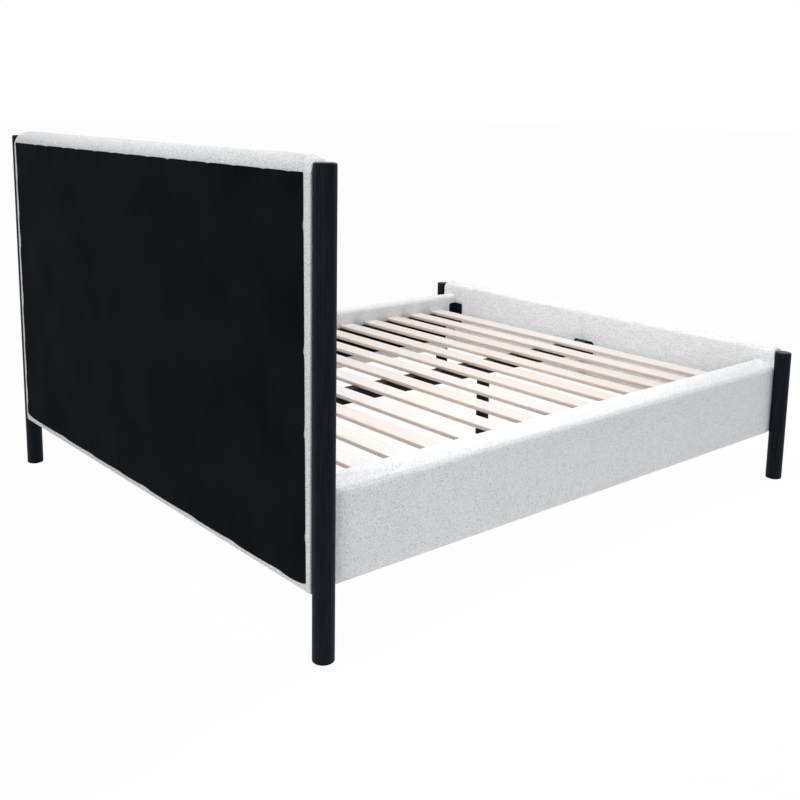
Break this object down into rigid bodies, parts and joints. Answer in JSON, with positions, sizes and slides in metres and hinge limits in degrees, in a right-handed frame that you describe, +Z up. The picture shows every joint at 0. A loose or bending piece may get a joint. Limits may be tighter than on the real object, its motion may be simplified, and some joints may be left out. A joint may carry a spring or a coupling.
{
  "type": "upholstered platform bed",
  "caption": "Low bed with a fabric headboard, footboard and side rails between round dark wood posts, and wood slats on ledgers and a centre beam to carry a mattress.",
  "frame": {"origin": "on the floor, midway between the four posts", "axes": "+X across the bed to its right seen from the foot, +Y from the foot to the head, +Z up"},
  "size_m": [1.897, 2.1509, 1.243],
  "materials": {
    "post_wood": "black stained, satin",
    "cover_fabric": "woven, matte",
    "dust_cloth": "non-woven, matte",
    "foam": "open cell",
    "frame_timber": "sawn",
    "plywood": "sanded",
    "slat_wood": "planed, bare",
    "ledger_wood": "black stained, matte",
    "black_steel": "powder coated",
    "black_fasteners": "black oxide",
    "plain_steel": "zinc plated",
    "black_plastic": "moulded, matte"
  },
  "bodies": {
    "bed": {"beam_hanger_foot": "black_steel", "beam_hanger_head": "black_steel", "bracket_bolts": "black_fasteners", "centre_beam": "black_steel", "centre_leg_foot": "black_steel", "centre_leg_head": "black_steel", "corner_bracket_foot_left": "black_steel", "corner_bracket_foot_right": "black_steel", "corner_bracket_head_left": "black_steel", "corner_bracket_head_right": "black_steel", "foot_post_left": "post_wood", "foot_post_right": "post_wood", "footboard_core": "frame_timber", "footboard_cover": "cover_fabric", "footboard_dust_strip": "dust_cloth", "footboard_foam": "foam", "hanger_screws": "black_fasteners", "head_post_left": "post_wood", "head_post_right": "post_wood", "headboard_board": "plywood", "headboard_cover": "cover_fabric", "headboard_dust_cover": "dust_cloth", "headboard_foam": "foam", "headboard_low_rail": "frame_timber", "headboard_middle_stiles": "frame_timber", "headboard_stile_left": "frame_timber", "headboard_stile_right": "frame_timber", "headboard_top_rail": "frame_timber", "ledger_screws": "black_fasteners", "leg_caps": "black_plastic", "post_glides": "black_plastic", "post_studs": "plain_steel", "rail_core_left": "frame_timber", "rail_core_right": "frame_timber", "rail_cover_left": "cover_fabric", "rail_cover_right": "cover_fabric", "rail_foam_left": "foam", "rail_foam_right": "foam", "rail_strip_left": "dust_cloth", "rail_strip_right": "dust_cloth", "slat_01": "slat_wood", "slat_02": "slat_wood", "slat_03": "slat_wood", "slat_04": "slat_wood", "slat_05": "slat_wood", "slat_06": "slat_wood", "slat_07": "slat_wood", "slat_08": "slat_wood", "slat_09": "slat_wood", "slat_10": "slat_wood", "slat_11": "slat_wood", "slat_12": "slat_wood", "slat_13": "slat_wood", "slat_14": "slat_wood", "slat_ledger_left": "ledger_wood", "slat_ledger_right": "ledger_wood"},
    "level_foot": {"levelling_foot_foot": "black_plastic"},
    "level_head": {"levelling_foot_head": "black_plastic"}
  },
  "joints": [
    {"name": "foot_screw_foot", "type": "slide", "parent": "bed", "child": "level_foot", "axis": [0, 0, 1], "range_m": [0, 0.011]},
    {"name": "foot_screw_head", "type": "slide", "parent": "bed", "child": "level_head", "axis": [0, 0, 1], "range_m": [0, 0.011]}
  ]
}
